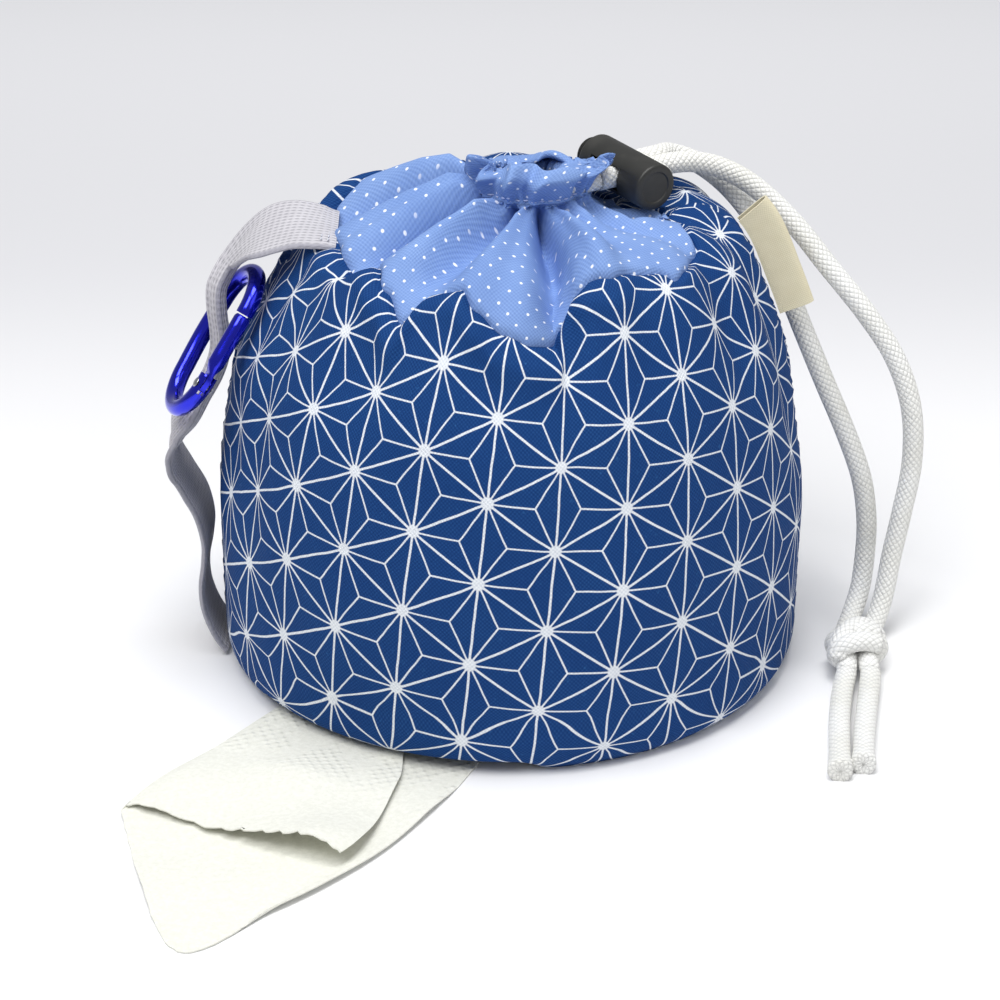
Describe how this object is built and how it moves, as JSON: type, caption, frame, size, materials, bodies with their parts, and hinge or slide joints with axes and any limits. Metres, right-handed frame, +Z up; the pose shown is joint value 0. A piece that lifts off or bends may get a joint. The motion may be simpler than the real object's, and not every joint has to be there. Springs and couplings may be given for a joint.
{
  "type": "kinchaku drawstring pouch",
  "caption": "Round drawstring cloth pouch that holds a paper roll and feeds it out under its foot, with a sprung cord lock, a knotted cord, a webbing strap and a small carabiner.",
  "frame": {"origin": "centre of the base, in the plane of the floor it stands on", "axes": "+Z up; the front, where the paper comes out, faces -Y; the strap is at -X, the cords at +X"},
  "size_m": [0.1871, 0.2067, 0.1275],
  "materials": {
    "anodised_aluminium": "glossy blue anodised",
    "back_cotton": "woven, navy blue with pale lines",
    "base_cotton": "woven, navy blue",
    "channel_braid": "braided",
    "far_braid": "braided",
    "gate_aluminium": "satin blue anodised",
    "knot_braid": "braided",
    "label_tape": "smooth woven tape",
    "left_tail_braid": "braided",
    "lock_plastic": "matte black",
    "near_braid": "braided",
    "patterned_cotton": "woven, navy blue with pale lines",
    "plain_cotton": "woven, light blue with fine dots",
    "plunger_plastic": "satin black",
    "right_tail_braid": "braided",
    "rivet_steel": "satin",
    "spring_steel": "plain wire",
    "tissue": "soft, matte",
    "tissue_tail": "soft, embossed",
    "webbing": "woven tape"
  },
  "bodies": {
    "pouch": {"front_panel": "patterned_cotton", "back_panel": "back_cotton", "collar": "plain_cotton", "base_panel": "base_cotton", "tissue_roll": "tissue", "paper_tail": "tissue_tail", "channel_cord": "channel_braid", "webbing_strap": "webbing", "side_label": "label_tape", "drawcord_near": "near_braid", "drawcord_far": "far_braid", "cord_knot": "knot_braid", "cord_tail_left": "left_tail_braid", "cord_tail_right": "right_tail_braid"},
    "cord_lock": {"cord_lock_barrel": "lock_plastic", "cord_lock_spring": "spring_steel"},
    "plunger": {"cord_lock_plunger": "plunger_plastic"},
    "carabiner": {"carabiner_body": "anodised_aluminium", "gate_rivet": "rivet_steel"},
    "gate": {"carabiner_gate": "gate_aluminium"}
  },
  "joints": [
    {"name": "lock_slide", "type": "slide", "parent": "pouch", "child": "cord_lock", "axis": [0.8192, 0.5736, 0], "range_m": [0, 0.007]},
    {"name": "plunger_push", "type": "slide", "parent": "cord_lock", "child": "plunger", "axis": [0.5725, -0.8177, -0.0599], "range_m": [0, 0.0025], "stiffness_N_per_m": 400, "springref_m": -0.001, "deforming": ["cord_lock_spring"]},
    {"name": "carabiner_swing", "type": "hinge", "parent": "pouch", "child": "carabiner", "pos_m": [-0.0598, -0.002, 0.0954], "axis": [-0.3622, 0.9082, -0.2097], "range_deg": [0, 12]},
    {"name": "gate_hinge", "type": "hinge", "parent": "carabiner", "child": "gate", "pos_m": [-0.07062, -0.02143, 0.07521], "axis": [-0.7865, -0.1771, 0.5917], "range_deg": [0, 18], "stiffness_Nm_per_rad": 0.02, "springref_deg": -11.46}
  ]
}
